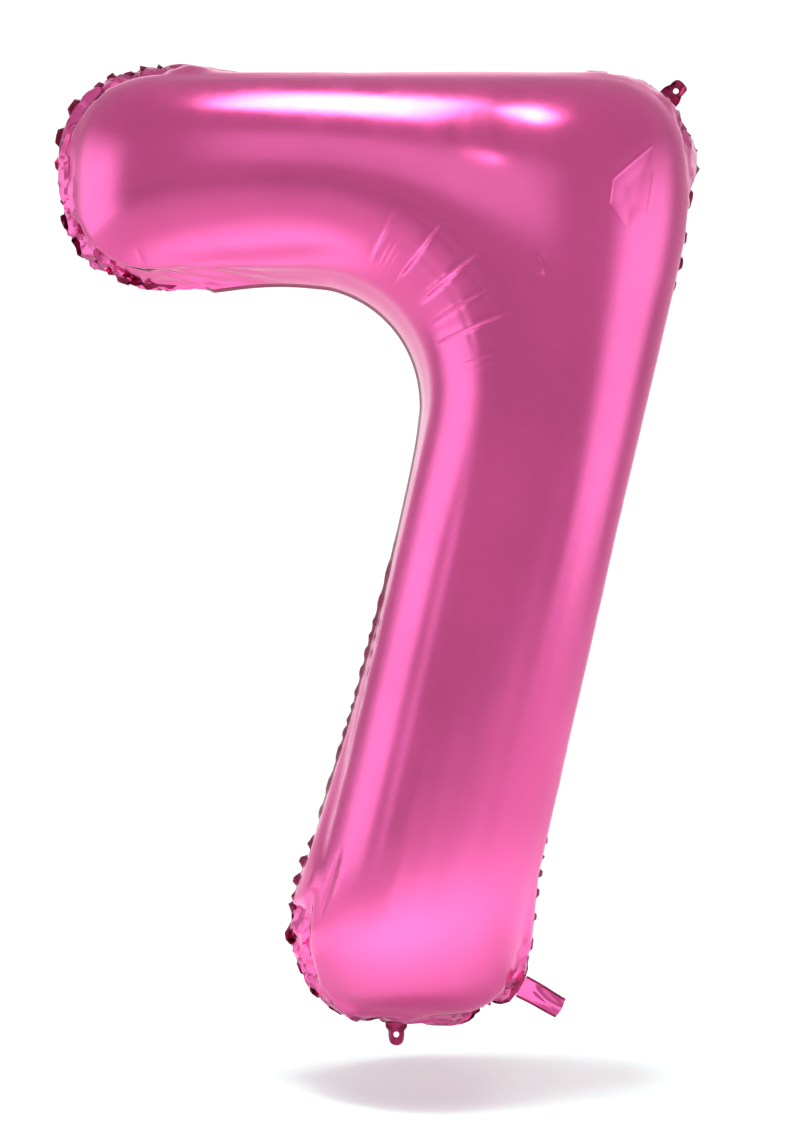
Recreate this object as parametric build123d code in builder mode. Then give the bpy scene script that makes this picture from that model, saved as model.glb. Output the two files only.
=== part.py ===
"""A foil number balloon in the shape of a 7, inflated, with two hanging tabs and a filling tail.

Frame: +X to the viewer's right, +Z up, the front film faces -Y, and the seam lies in the plane Y = 0.
The origin is the centre of the eyelet in the corner tab, from which the balloon hangs.
Film that is under 0.1 mm thick on the real object is drawn thick enough to be a sound solid.
"""

from build123d import *

import os
from math import cos, radians, sin, sqrt

# Seal line: the outline along which the two foil films are welded.
SEAL_HEIGHT = 850.0
SEAL_ACROSS = 562.0  # width of the top edge, measured to the outer corner
ARM_WIDTH = 192.0
LEG_WIDTH = 206.0  # square to the leg
LEG_LEAN = 13.2  # degrees between the leg and the vertical
SHOULDER_DROP = 150.0  # from the top edge down to where the right edge starts to lean
ELBOW_RADIUS = 100.0  # inside of the bend between arm and leg
CORNER_RADIUS = 88.0
SHOULDER_RADIUS = 300.0
FOOT_RIGHT_RADIUS = 58.0
FOOT_LEFT_RADIUS = 80.0
ARM_TOP_RADIUS = 80.0
ARM_BOTTOM_RADIUS = 72.0

# Foil.
SKIN = 1.0  # wall of an inflated skin
PLY = 0.5  # each of the two welded plies in the seam, the tabs and the tail
SEAM_WIDTH = 7.0  # welded margin outside the seal line
FOLD_GAP = 0.8  # from a tab's fold axis to the film on either side of it

# Sections of the inflated tube.
CAP_LENGTH = 78.0  # length of the rounded end of the arm, and of the leg
CAP_STATIONS = [0.97, 0.9, 0.75, 0.5, 0.25, 0]  # places of a cap's sections, from its tip to its base
BEND_STEPS = 16  # equal angles between the sections round the bend
LEG_STEPS = 6

# Hanging tabs: round-ended flaps, each with a punched eyelet.
TAB_WIDTH = 20.0
EYELET_RADIUS = 2.6
EYELET_REACH = 10.2  # from the seam's edge to the eyelet's centre
CORNER_TAB_ANGLE = 45.0  # degrees above +X in which the corner tab points
BOTTOM_TAB_X = -253.0

# Filling tail: two films welded along their sides, flat at the neck and open at the mouth.
TAIL_ANGLE = -29.0  # degrees above +X in which the tail points
TAIL_LENGTH = 33.0
NECK_LENGTH = 5.0  # fixed stub of the tail, outside the seam
NECK_WIDTH = 22.0
MOUTH_WIDTH = 20.0
NECK_PASSAGE = (17.0, 0.6)  # width and height of the lens between the films
MOUTH_PASSAGE = (14.6, 8.0)
PASSAGE_RUN_IN = 20.0  # how far the passage is cut into the balloon, from the seal line
TAIL_FOLD_GAP = 1.2

# Self-sealing valve: two soft films that hang inside the balloon, behind the neck.
VALVE_WIDTH = 24.0
VALVE_LENGTH = 110.0
VALVE_FILM = 0.3
VALVE_GAP = 0.3  # from the plane of the seam to each film
VALVE_INSET = 6.0  # from the seal line to the valve's root

FRONT = Vector(0, -1, 0)


def on_ray(degrees_up):
    """A unit vector in the plane of the seam, that many degrees above +X."""
    return Vector(cos(radians(degrees_up)), 0, sin(radians(degrees_up)))


def down_to(start, direction, height):
    """The point where a line from start reaches that height."""
    return start + direction * ((height - start.Z) / direction.Z)


# The outline is placed from the eyelet, which stands outside the rounded outer corner.
eyelet_to_centre = CORNER_RADIUS + SEAM_WIDTH + EYELET_REACH
corner_centre = on_ray(CORNER_TAB_ANGLE) * -eyelet_to_centre
seal_top = corner_centre.Z + CORNER_RADIUS
seal_right = corner_centre.X + CORNER_RADIUS
seal_left = seal_right - SEAL_ACROSS
seal_bottom = seal_top - SEAL_HEIGHT
arm_bottom = seal_top - ARM_WIDTH
arm_radius = ARM_WIDTH / 2

# The leg's edges run parallel, from the shoulder and from the elbow, down to the foot.
leg_down = on_ray(-90 - LEG_LEAN)
leg_across = on_ray(-LEG_LEAN)
shoulder = Vector(seal_right, 0, seal_top - SHOULDER_DROP)
shoulder_left = shoulder - leg_across * LEG_WIDTH
elbow_corner = down_to(shoulder_left, leg_down, arm_bottom)
elbow_centre = down_to(shoulder_left - leg_across * ELBOW_RADIUS, leg_down, arm_bottom - ELBOW_RADIUS)
foot_right = down_to(shoulder, leg_down, seal_bottom)
foot_left = down_to(shoulder_left, leg_down, seal_bottom)
foot_right_centre = down_to(shoulder - leg_across * FOOT_RIGHT_RADIUS, leg_down, seal_bottom + FOOT_RIGHT_RADIUS)

outline = [
    (seal_left, seal_top),
    (seal_right, seal_top),
    (shoulder.X, shoulder.Z),
    (foot_right.X, foot_right.Z),
    (foot_left.X, foot_left.Z),
    (elbow_corner.X, elbow_corner.Z),
    (seal_left, arm_bottom),
]
outline_radii = [
    ARM_TOP_RADIUS,
    CORNER_RADIUS,
    SHOULDER_RADIUS,
    FOOT_RIGHT_RADIUS,
    FOOT_LEFT_RADIUS,
    ELBOW_RADIUS,
    ARM_BOTTOM_RADIUS,
]

with BuildSketch(Plane.XZ) as seal_outline:
    with BuildLine():
        FilletPolyline(*outline, radius=outline_radii, close=True)
    make_face()
seal_face = seal_outline.sketch.face()

# The sections stand on rays that start outside the outline and cross the tube once.
foot_start = down_to(shoulder_left - leg_across * ELBOW_RADIUS, leg_down, seal_bottom + CAP_LENGTH)
below_arm = arm_bottom - ELBOW_RADIUS
bend_step = (90 + LEG_LEAN) / BEND_STEPS


def tube_face(ray_start, ray_angle, share, wall):
    """The front half of an oval section on a ray, inset by a wall; share scales its depth.

    Every section runs out behind the seam, so that the panel reaches the seam's plane and a void cuts right through.
    """
    across = on_ray(ray_angle)
    ray = Edge.make_line(ray_start, ray_start + across * SEAL_ACROSS)
    inside = seal_face.intersect(ray).edges().sort_by_distance(ray_start)[0]
    half_width = inside.length / 2 - wall
    half_depth = sqrt(inside.length / 2 * arm_radius) * share - wall
    with BuildSketch(Plane(origin=inside.center(), x_dir=across, z_dir=across.cross(FRONT))) as section:
        with BuildLine():
            EllipticalCenterArc((0, 0), half_width, half_depth, 0, arc_size=180)
            Polyline((-half_width, 0), (-half_width, -wall - PLY), (half_width, -wall - PLY), (half_width, 0))
        make_face()
    return section.sketch.face()


def tube_faces(wall):
    """All sections of the inflated tube, from the arm's rounded end to the foot's."""
    faces = []
    for station in CAP_STATIONS:
        x = seal_left + wall + (CAP_LENGTH - wall) * (1 - station)
        faces.append(tube_face(Vector(x, 0, below_arm), 90, sqrt(1 - station**2), wall))
    for step in range(BEND_STEPS + 1):
        faces.append(tube_face(elbow_centre, 90 - bend_step * step, 1, wall))
    for step in range(1, LEG_STEPS):
        start = elbow_centre + (foot_start - elbow_centre) * (step / LEG_STEPS)
        faces.append(tube_face(start, LEG_LEAN * (step / LEG_STEPS - 1), 1, wall))
    for station in reversed(CAP_STATIONS):
        z = seal_bottom + wall + (CAP_LENGTH - wall) * (1 - station)
        faces.append(tube_face(Vector(foot_start.X, 0, z), 0, sqrt(1 - station**2), wall))
    return faces


# The tail leaves the rounded corner of the foot square to the seam.
tail_out = on_ray(TAIL_ANGLE)
tail_root = foot_right_centre + tail_out * FOOT_RIGHT_RADIUS
neck_end = SEAM_WIDTH + NECK_LENGTH
tail_start = neck_end + 2 * TAIL_FOLD_GAP


def tail_plane(reach):
    """The plane square to the tail, at a distance out from the seal line; its Y points to the front."""
    return Plane(origin=tail_root + tail_out * reach, x_dir=FRONT.cross(tail_out), z_dir=tail_out)


def passage_face(reach, passage):
    """The lens between the two films."""
    width, height = passage
    with BuildSketch(tail_plane(reach)) as lens:
        Ellipse(width / 2, height / 2)
    return lens.sketch.face()


def film_face(reach, passage):
    """The outside of the two films round the lens."""
    width, height = passage
    return passage_face(reach, (width + 2 * PLY, height + 2 * PLY))


def weld_face(reach, width):
    """The welded side strips, as one flat bar across the tail."""
    with BuildSketch(tail_plane(reach)) as bar:
        Rectangle(width, 2 * PLY)
    return bar.sketch.face()


with BuildSketch(Plane.XZ) as seam_outline:
    add(seal_outline.sketch_local)
    offset(amount=SEAM_WIDTH)

with BuildPart() as front_panel:
    loft(sections=tube_faces(0), ruled=True)
    extrude(seam_outline.sketch, amount=PLY, both=True)
    neck_run = neck_end + PASSAGE_RUN_IN
    extrude(film_face(-PASSAGE_RUN_IN, NECK_PASSAGE), amount=neck_run)
    extrude(weld_face(-PASSAGE_RUN_IN, NECK_WIDTH), amount=neck_run)
    loft(sections=tube_faces(SKIN), ruled=True, mode=Mode.SUBTRACT)
    extrude(passage_face(-PASSAGE_RUN_IN, NECK_PASSAGE), amount=neck_run, mode=Mode.SUBTRACT)
    split(bisect_by=Plane.XZ, keep=Keep.TOP)
front_panel.part.label = "front_panel"

with BuildPart() as rear_panel:
    mirror(front_panel.part, about=Plane.XZ)
rear_panel.part.label = "rear_panel"


def tab_outline(root, outward):
    """A round-ended flap with an eyelet, starting past the fold at the seam's edge."""
    with BuildSketch(Plane(origin=root, x_dir=outward, z_dir=FRONT)) as flap:
        with Locations((2 * FOLD_GAP, 0)):
            Rectangle(EYELET_REACH - 2 * FOLD_GAP, TAB_WIDTH, align=(Align.MIN, Align.CENTER))
        with Locations((EYELET_REACH, 0)):
            Circle(TAB_WIDTH / 2)
            Circle(EYELET_RADIUS, mode=Mode.SUBTRACT)
    return flap.sketch


corner_out = on_ray(CORNER_TAB_ANGLE)
corner_tab_outline = tab_outline(corner_out * -EYELET_REACH, corner_out)
bottom_tab_outline = tab_outline(Vector(BOTTOM_TAB_X, 0, seal_bottom - SEAM_WIDTH), on_ray(-90))

with BuildPart() as corner_tab_front:
    extrude(corner_tab_outline, amount=PLY)
corner_tab_front.part.label = "corner_tab_front"

with BuildPart() as corner_tab_rear:
    extrude(corner_tab_outline, amount=-PLY)
corner_tab_rear.part.label = "corner_tab_rear"

with BuildPart() as bottom_tab_front:
    extrude(bottom_tab_outline, amount=PLY)
bottom_tab_front.part.label = "bottom_tab_front"

with BuildPart() as bottom_tab_rear:
    extrude(bottom_tab_outline, amount=-PLY)
bottom_tab_rear.part.label = "bottom_tab_rear"

tail_end = tail_start + TAIL_LENGTH
with BuildPart() as tail_front:
    loft(sections=[film_face(tail_start, NECK_PASSAGE), film_face(tail_end, MOUTH_PASSAGE)])
    loft(sections=[weld_face(tail_start, NECK_WIDTH), weld_face(tail_end, MOUTH_WIDTH)])
    loft(
        sections=[passage_face(tail_start, NECK_PASSAGE), passage_face(tail_end, MOUTH_PASSAGE)],
        mode=Mode.SUBTRACT,
    )
    split(bisect_by=Plane.XZ, keep=Keep.TOP)
tail_front.part.label = "tail_front"

with BuildPart() as tail_rear:
    mirror(tail_front.part, about=Plane.XZ)
tail_rear.part.label = "tail_rear"

# The valve's two films hang from the neck's inner end, face to face across the seam's plane.
valve_root = tail_root - tail_out * VALVE_INSET
with BuildPart() as valve_front_film:
    with BuildSketch(Plane(origin=valve_root + FRONT * VALVE_GAP, x_dir=-tail_out, z_dir=FRONT)):
        Rectangle(VALVE_LENGTH, VALVE_WIDTH, align=(Align.MIN, Align.CENTER))
    extrude(amount=VALVE_FILM)
valve_front_film.part.label = "valve_front_film"

with BuildPart() as valve_rear_film:
    mirror(valve_front_film.part, about=Plane.XZ)
valve_rear_film.part.label = "valve_rear_film"

os.makedirs("parts", exist_ok=True)
export_step(front_panel.part, "parts/front_panel.step")
export_step(rear_panel.part, "parts/rear_panel.step")
export_step(corner_tab_front.part, "parts/corner_tab_front.step")
export_step(corner_tab_rear.part, "parts/corner_tab_rear.step")
export_step(bottom_tab_front.part, "parts/bottom_tab_front.step")
export_step(bottom_tab_rear.part, "parts/bottom_tab_rear.step")
export_step(tail_front.part, "parts/tail_front.step")
export_step(tail_rear.part, "parts/tail_rear.step")
export_step(valve_front_film.part, "parts/valve_front_film.step")
export_step(valve_rear_film.part, "parts/valve_rear_film.step")
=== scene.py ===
"""The looks of an inflated foil balloon in the shape of a 7, as a Blender add-on that is run as a script."""

from math import cos, pi, radians, sin, tan

import bpy
import numpy as np
from bpy.props import FloatProperty, FloatVectorProperty, IntProperty, PointerProperty
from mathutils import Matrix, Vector
from mathutils.geometry import delaunay_2d_cdt


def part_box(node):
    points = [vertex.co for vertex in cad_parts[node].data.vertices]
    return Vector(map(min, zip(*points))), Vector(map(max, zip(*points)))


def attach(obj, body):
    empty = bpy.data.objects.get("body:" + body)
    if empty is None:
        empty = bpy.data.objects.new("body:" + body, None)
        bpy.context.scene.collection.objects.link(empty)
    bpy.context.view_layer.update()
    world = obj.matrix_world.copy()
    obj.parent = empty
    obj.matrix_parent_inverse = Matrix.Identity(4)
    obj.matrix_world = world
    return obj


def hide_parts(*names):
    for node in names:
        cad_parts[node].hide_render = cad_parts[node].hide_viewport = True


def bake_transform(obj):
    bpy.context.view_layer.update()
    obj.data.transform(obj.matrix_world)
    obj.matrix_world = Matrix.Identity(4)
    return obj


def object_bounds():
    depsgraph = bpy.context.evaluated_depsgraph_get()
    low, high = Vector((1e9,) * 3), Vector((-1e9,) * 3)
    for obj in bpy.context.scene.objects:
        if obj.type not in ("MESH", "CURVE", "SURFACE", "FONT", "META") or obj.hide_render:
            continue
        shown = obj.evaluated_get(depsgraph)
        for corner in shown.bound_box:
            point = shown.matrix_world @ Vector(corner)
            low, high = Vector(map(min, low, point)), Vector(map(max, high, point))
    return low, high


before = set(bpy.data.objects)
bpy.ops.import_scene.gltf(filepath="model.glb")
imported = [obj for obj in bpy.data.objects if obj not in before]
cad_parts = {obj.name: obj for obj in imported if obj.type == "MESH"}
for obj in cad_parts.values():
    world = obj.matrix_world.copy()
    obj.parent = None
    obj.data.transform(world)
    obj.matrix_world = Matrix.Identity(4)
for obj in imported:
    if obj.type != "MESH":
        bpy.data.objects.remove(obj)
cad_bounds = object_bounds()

bl_info = {
    "name": "Foil number balloon",
    "version": (1, 0, 0),
    "blender": (4, 5, 0),
    "location": "View3D > Sidebar > Balloon",
    "description": "Models an inflated foil balloon in the shape of a 7 with its tabs, tail and valve",
    "category": "Object",
}

MM = 0.001
FRONT_SIDE = -1  # the front film bulges towards -Y
REAR_SIDE = 1
SIDES = ((FRONT_SIDE, "front"), (REAR_SIDE, "rear"))

# The seal line, with the same driving sizes as the design.
LEG_LEAN = radians(13.2)
LEG_WIDTH = 206 * MM
SHOULDER_DROP = 150 * MM
ELBOW_RADIUS = 100 * MM
ARM_WIDTH = 192 * MM
OUTLINE_RADII = [80 * MM, 88 * MM, 300 * MM, 58 * MM, 80 * MM, ELBOW_RADIUS, 72 * MM]

TAIL_ANGLE = -29.0
TAIL_ROOT = np.array([-145.81, -806.51]) * MM
VALVE_ROOT = np.array([-151.061, -803.598]) * MM
VALVE_LENGTH = 110 * MM
EYELET_TO_TIP = 10 * MM

# The film's mesh.
RING_COUNT = 13  # rows of points that follow the seam on each film
BAND_FILM_ROWS = 2 * RING_COUNT - 1  # both films' rows, which share the one on the seam
FLANGE_STEPS = 2  # rows of faces across the welded margin
TUBE_RADIUS = 98 * MM
FINE_SHARE = 0.55  # spacing in the creased stretches over the spacing elsewhere
STRIP_OFFSETS = (0.0, 0.8, 1.7, 2.8, 4.2)  # rows of points beside each crease, in millimetres

# The band of film along the seam, settled as cloth.
CLOTH_MASS = 0.0005
CLOTH_STRETCH = 30
CLOTH_BEND = 0.05
CLOTH_DAMPING = 8
CLOTH_PRESSURE = 2.0
LARGEST_MOVE = 9 * MM

# The lobes of the welded margin, with their lengths in millimetres.
LOBE_LENGTH, LOBE_SPREAD = 22, 7.5
LOBE_SWING = 1.6 * MM
FOLDED_BACK = radians(74)

TAB_CLEARANCE = 6.8 * MM  # from a tab's fold back to the film behind it

# The stage, in metres.
VIEW_CENTRE = (-0.256, 0.0, -0.431)
VIEW_HEIGHT = 1.027175
CAMERA_DISTANCE = 1.4
SENSOR_HEIGHT = 36  # millimetres
FLOOR_GAP = 0.035
PAPER_SIDES = (-7.0, 6.5)
PAPER_FRONT = -7.0
PAPER_BEND_START, PAPER_BEND_RADIUS = 0.9, 0.7
PAPER_RISE = 5.0
DAYLIGHT = 0.62


# ---------------------------------------------------------------- settings

class FilmSettings(bpy.types.PropertyGroup):
    """Sizes of the foil and of its mesh."""

    seam_width: FloatProperty(
        name="Seam width", description="Welded margin outside the seal line", default=7 * MM, unit="LENGTH"
    )
    thickness: FloatProperty(
        name="Film thickness", description="Thickness that each film is drawn with",
        default=0.12 * MM, unit="LENGTH",
    )
    spacing: FloatProperty(
        name="Mesh spacing", description="Distance between points on the film",
        default=4.4 * MM, unit="LENGTH",
    )
    pucker: FloatProperty(
        name="Pucker", description="Share of spare film along the rounded stretches of the seam",
        default=0.42, subtype="FACTOR",
    )
    slack: FloatProperty(
        name="Slack", description="Share of extra spare film along the loose stretches of the seam",
        default=0.38, subtype="FACTOR",
    )
    settle_frames: IntProperty(
        name="Settle frames", description="Steps of the cloth simulation", default=26, subtype="UNSIGNED"
    )


class FlapSettings(bpy.types.PropertyGroup):
    """Sizes of the tabs, the tail and the valve."""

    tab_width: FloatProperty(
        name="Tab width", description="Width of a hanging tab", default=20 * MM, unit="LENGTH"
    )
    eyelet_radius: FloatProperty(
        name="Eyelet radius", description="Radius of the punched hole in a tab",
        default=2.6 * MM, unit="LENGTH",
    )
    eyelet_reach: FloatProperty(
        name="Eyelet reach", description="From the seam's edge to the eyelet",
        default=10.2 * MM, unit="LENGTH",
    )
    curl_radius: FloatProperty(
        name="Curl radius", description="How tightly a tab's sides curl forwards",
        default=7.5 * MM, unit="LENGTH",
    )
    tail_width: FloatProperty(
        name="Tail width", description="Width of the filling tail at its root", default=22 * MM, unit="LENGTH"
    )
    valve_width: FloatProperty(
        name="Valve width", description="Width of the valve's soft films", default=24 * MM, unit="LENGTH"
    )


class FinishSettings(bpy.types.PropertyGroup):
    """Colours and gloss."""

    foil_colour: FloatVectorProperty(
        name="Foil", description="Colour of the metallised film", subtype="COLOR", size=3,
        default=(0.76, 0.108, 0.336), min=0, max=1,
    )
    foil_roughness: FloatProperty(
        name="Foil roughness", description="How blurred the foil's reflections are",
        default=0.18, subtype="FACTOR",
    )
    valve_colour: FloatVectorProperty(
        name="Valve film", description="Colour of the soft plastic film of the valve",
        subtype="COLOR", size=3, default=(0.86, 0.88, 0.90), min=0, max=1,
    )


# ---------------------------------------------------------------- the outline

def direction(degrees_up):
    """A unit vector in the plane of the seam, as (x, z), that many degrees above +X."""
    return np.array([cos(radians(degrees_up)), sin(radians(degrees_up))])


def seal_corners(seam_width):
    """Corners of the seal line before rounding, as (x, z), clockwise from the arm's top left."""
    low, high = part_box("front_panel")
    left, right = low[0] + seam_width, high[0] - seam_width
    bottom, top = low[2] + seam_width, high[2] - seam_width
    down = np.array([-sin(LEG_LEAN), -cos(LEG_LEAN)])
    across = np.array([cos(LEG_LEAN), -sin(LEG_LEAN)])
    shoulder = np.array([right, top - SHOULDER_DROP])
    leg_left = shoulder - across * LEG_WIDTH

    def down_to(start, height):
        return start + down * ((height - start[1]) / down[1])

    return [
        np.array([left, top]),
        np.array([right, top]),
        shoulder,
        down_to(shoulder, bottom),
        down_to(leg_left, bottom),
        down_to(leg_left, top - ARM_WIDTH),
        np.array([left, top - ARM_WIDTH]),
    ]


def rounded(corners, radii, spacing):
    """Evenly spaced points along a rounded closed outline, and how sharply each one bends outwards."""
    path = []
    bend = []
    count = len(corners)
    for i, (corner, radius) in enumerate(zip(corners, radii)):
        back = corners[i - 1] - corner
        ahead = corners[(i + 1) % count] - corner
        back /= np.linalg.norm(back)
        ahead /= np.linalg.norm(ahead)
        half = np.arccos(np.clip(back @ ahead, -1, 1)) / 2
        middle = back + ahead
        centre = corner + middle / np.linalg.norm(middle) * radius / sin(half)
        start = corner + back * radius / tan(half) - centre
        turn = pi - 2 * half
        clockwise = back[0] * ahead[1] - back[1] * ahead[0] > 0
        steps = max(4, int(turn * radius / (0.5 * MM)))
        for k in range(steps + 1):
            a = turn * k / steps * (-1 if clockwise else 1)
            x, z = start
            path.append(centre + [x * cos(a) - z * sin(a), x * sin(a) + z * cos(a)])
            bend.append((1 if clockwise else -1) / radius)
    path = np.array(path)
    gap = np.linalg.norm(np.roll(path, -1, 0) - path, axis=1)
    length = gap.sum()
    total = int(round(length / spacing))
    along = np.concatenate([[0], np.cumsum(gap)])
    places = np.arange(total) * length / total
    closed = np.vstack([path, path[:1]])
    points = np.stack([np.interp(places, along, closed[:, axis]) for axis in (0, 1)], 1)
    on_arc = np.searchsorted(along, places, side="right") - 1
    straight = gap[on_arc] > 1 * MM
    curvature = np.where(straight, 0, np.array(bend)[on_arc])
    return points, curvature


def outward_normals(points):
    """Unit normals of a clockwise outline, pointing out."""
    along = np.roll(points, -1, 0) - np.roll(points, 1, 0)
    along /= np.linalg.norm(along, axis=1)[:, None]
    return np.stack([-along[:, 1], along[:, 0]], 1)


def contains(outline, points):
    """Which points lie inside a closed outline."""
    inside = np.zeros(len(points), bool)
    x, z = points[:, 0], points[:, 1]
    for (x1, z1), (x2, z2) in zip(outline, np.roll(outline, -1, 0)):
        if z1 != z2:
            crossing = (z1 > z) != (z2 > z)
            inside ^= crossing & (x < (x2 - x1) * (z - z1) / (z2 - z1) + x1)
    return inside


def honeycomb(low, high, spacing, seed):
    """Points of a slightly uneven triangular grid over a box."""
    rows = []
    for row, z in enumerate(np.arange(low[1], high[1], spacing * sin(pi / 3))):
        x = np.arange(low[0], high[0], spacing) + (spacing / 2 if row % 2 else 0)
        rows.append(np.stack([x, np.full_like(x, z)], 1))
    grid = np.concatenate(rows)
    return grid + np.random.default_rng(seed).normal(0, spacing * 0.08, grid.shape)


def distance_to(points, start, end):
    """Distance of each point from a straight stretch."""
    along = end - start
    t = np.clip((points - start) @ along / (along @ along), 0, 1)
    return np.linalg.norm(points - start - t[:, None] * along, axis=1)


def thinned(points, gap):
    """The points without those that lie closer than gap to an earlier one."""
    kept = []
    cells = {}
    for point in points:
        cell = (int(point[0] // gap), int(point[1] // gap))
        around = [(cell[0] + dx, cell[1] + dz) for dx in (-1, 0, 1) for dz in (-1, 0, 1)]
        near = [p for place in around for p in cells.get(place, [])]
        if all((p[0] - point[0]) ** 2 + (p[1] - point[1]) ** 2 > gap * gap for p in near):
            kept.append(point)
            cells.setdefault(cell, []).append(point)
    return np.array(kept)


def anticlockwise(p, q, r):
    """Whether three flat points run anticlockwise."""
    return (q[0] - p[0]) * (r[1] - p[1]) - (q[1] - p[1]) * (r[0] - p[0]) > 0


def lifted(flat, y):
    """Flat points, as (x, z), put in space at those y."""
    return np.stack([flat[..., 0], y, flat[..., 1]], -1)


def row_faces(a, b, count):
    """Four-sided faces between two closed rows of points, which start at a and b."""
    return [(a + i, b + i, b + (i + 1) % count, a + (i + 1) % count) for i in range(count)]


def flipped(faces):
    """The same faces, facing the other way."""
    return [face[::-1] for face in faces]


def bottom_tab_middle():
    """The middle of the bottom tab's width."""
    low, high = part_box("bottom_tab_front")
    return (low[0] + high[0]) / 2


# ---------------------------------------------------------------- creases in the film

# Radial folds on the inside of the bend: angle about the bend's centre in degrees, then where the fold
# starts and ends, how deep it is and how wide, in millimetres.
ELBOW_FOLDS = [
    (61.0, 121, 172, 1.3, 1.9),
    (57.6, 124, 150, 0.45, 1.3),
    (55.6, 122, 156, 0.55, 1.3),
    (53.4, 126, 150, 0.35, 1.3),
    (48.0, 118, 186, 1.9, 1.7),
    (35.5, 117, 190, 1.9, 1.7),
    (26.0, 120, 178, 0.8, 1.5),
    (18.0, 116, 187, 1.3, 1.6),
    (8.0, 132, 172, 0.30, 1.8),
    (5.5, 138, 168, 0.22, 1.8),
]
# Faint rings around the bend's centre, between the folds: radius, depth and width in millimetres.
ELBOW_RINGS = [(139, 0.16, 2.6), (149, 0.30, 2.2), (170, 0.24, 2.4)]
# Straight grooves as start, end, depth and width in millimetres.
GROOVES = [
    ((-300, -672), (-322, -745), 2.2, 2.6),
    ((-481, -152), (-470, -174), 1.2, 2.2),
    ((-138, -172), (-131, -190), 1.3, 2.2),
]
# The flat facet's corners in millimetres, and how strongly the edge that starts at each one stands up.
CORNER_FACET = [(-36, -72), (-73, -107), (-76, -127), (-60, -147), (-41, -131), (-35, -98)]
FACET_EDGES = [1.0, 0.8, 0.12, 0.15, 0.9, 0.3]
# Soft lengthwise ridges of the leg: distance from its left seam over the leg's width, height in
# millimetres, and width over the leg's width.
LEG_RIDGES = [
    (0.14, 0.8, 0.030),
    (0.25, -0.8, 0.030),
    (0.35, 0.9, 0.026),
    (0.50, -0.5, 0.040),
    (0.66, -0.8, 0.035),
    (0.80, 0.9, 0.030),
]
# Stretches of the seam with still more spare film: centre and reach in millimetres, and amount.
LOOSE_STRETCHES = [
    ((14, -95), 105, 1.0),
    ((-75, 14), 70, 0.8),
    ((-128, -725), 80, 0.9),
    ((-346, -765), 65, 1.0),
    ((-326, -690), 45, 0.9),
    ((-290, -540), 150, 0.24),
    ((-535, -150), 70, 0.5),
]


def faded(x):
    """A soft step from 0 to 1."""
    x = np.clip(x, 0, 1)
    return x * x * (3 - 2 * x)


def crease_strips(elbow_centre):
    """Rows of mesh points that follow each crease, and the straight line of each crease."""
    spines = [
        (elbow_centre + direction(angle) * start * MM, elbow_centre + direction(angle) * end * MM)
        for angle, start, end, _, _ in ELBOW_FOLDS
    ]
    spines += [(np.array(start) * MM, np.array(end) * MM) for start, end, _, _ in GROOVES]
    corners = np.array(CORNER_FACET) * MM
    spines += list(zip(corners, np.roll(corners, -1, 0)))
    rows = []
    for start, end in spines:
        ahead = (end - start) / np.linalg.norm(end - start)
        aside = np.array([-ahead[1], ahead[0]])
        steps = np.arange(-3 * MM, np.linalg.norm(end - start) + 5 * MM, 1.7 * MM)
        for offset in STRIP_OFFSETS:
            for way in (1, -1) if offset else (1,):
                rows.append(start + steps[:, None] * ahead + way * offset * MM * aside)
    return np.concatenate(rows), spines


def elbow_folds(film, points):
    """Depth change of the radial folds: a sharp valley with a low ridge on its upper side."""
    from_centre = points - film.elbow_centre
    change = np.zeros(len(points))
    for angle, start, end, depth, width in ELBOW_FOLDS:
        along = from_centre @ direction(angle)
        upward = from_centre @ direction(angle + 90)
        t = (along / MM - start) / (end - start)
        run = faded(t / 0.25) * faded((1 - t) / 0.7)
        u = upward / MM / width
        valley = np.exp(-np.abs(u) ** 1.2)
        ridge = np.exp(-(((u - 1.7) / 1.2) ** 2))
        change += run * depth * MM * (0.5 * ridge - valley)
    reach = np.linalg.norm(from_centre, axis=1) / MM
    angle = np.degrees(np.arctan2(from_centre[:, 1], from_centre[:, 0]))
    window = faded((angle - 8) / 10) * faded((62 - angle) / 10)
    for radius, depth, width in ELBOW_RINGS:
        change -= window * depth * MM * np.exp(-(((reach - radius) / width) ** 2))
    return change


def straight_grooves(points):
    """Depth change of the short straight grooves."""
    change = np.zeros(len(points))
    for start, end, depth, width in GROOVES:
        start, end = np.array(start) * MM, np.array(end) * MM
        length = np.linalg.norm(end - start)
        ahead = (end - start) / length
        t = (points - start) @ ahead / length
        u = (points - start) @ np.array([-ahead[1], ahead[0]]) / (width * MM)
        run = faded((t + 0.05) / 0.45) * faded((1.05 - t) / 0.45)
        change -= run * depth * MM * (np.exp(-np.abs(u) ** 1.2) - 0.4 * np.exp(-((u - 1.8) ** 2)))
    return change


def corner_facet(points):
    """Depth change of the flat facet near the outer corner: a shallow dent between thin raised edges."""
    corners = np.array(CORNER_FACET) * MM
    nearest = np.full(len(points), 1.0)
    raised = np.zeros(len(points))
    for a, b, strength in zip(corners, np.roll(corners, -1, 0), FACET_EDGES):
        apart = distance_to(points, a, b)
        nearest = np.minimum(nearest, apart)
        raised = np.maximum(raised, strength * np.exp(-((apart / (1.1 * MM)) ** 2)))
    inward = np.where(contains(corners, points), nearest, 0)
    return 0.42 * MM * raised - 0.9 * MM * faded(inward / (14 * MM))


def leg_ridges(film, points):
    """Depth change of the soft lengthwise ridges down the leg."""
    corner = film.corners[5]
    across = np.array([cos(LEG_LEAN), -sin(LEG_LEAN)])
    place = (points - corner) @ across / LEG_WIDTH
    fade = faded((-0.30 - points[:, 1]) / 0.12) * faded((points[:, 1] + 0.80) / 0.10)
    change = np.zeros(len(points))
    for centre, height, width in LEG_RIDGES:
        change += height * MM * np.exp(-(((place - centre) / width) ** 2))
    return change * fade


# ---------------------------------------------------------------- the inflated shape

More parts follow.
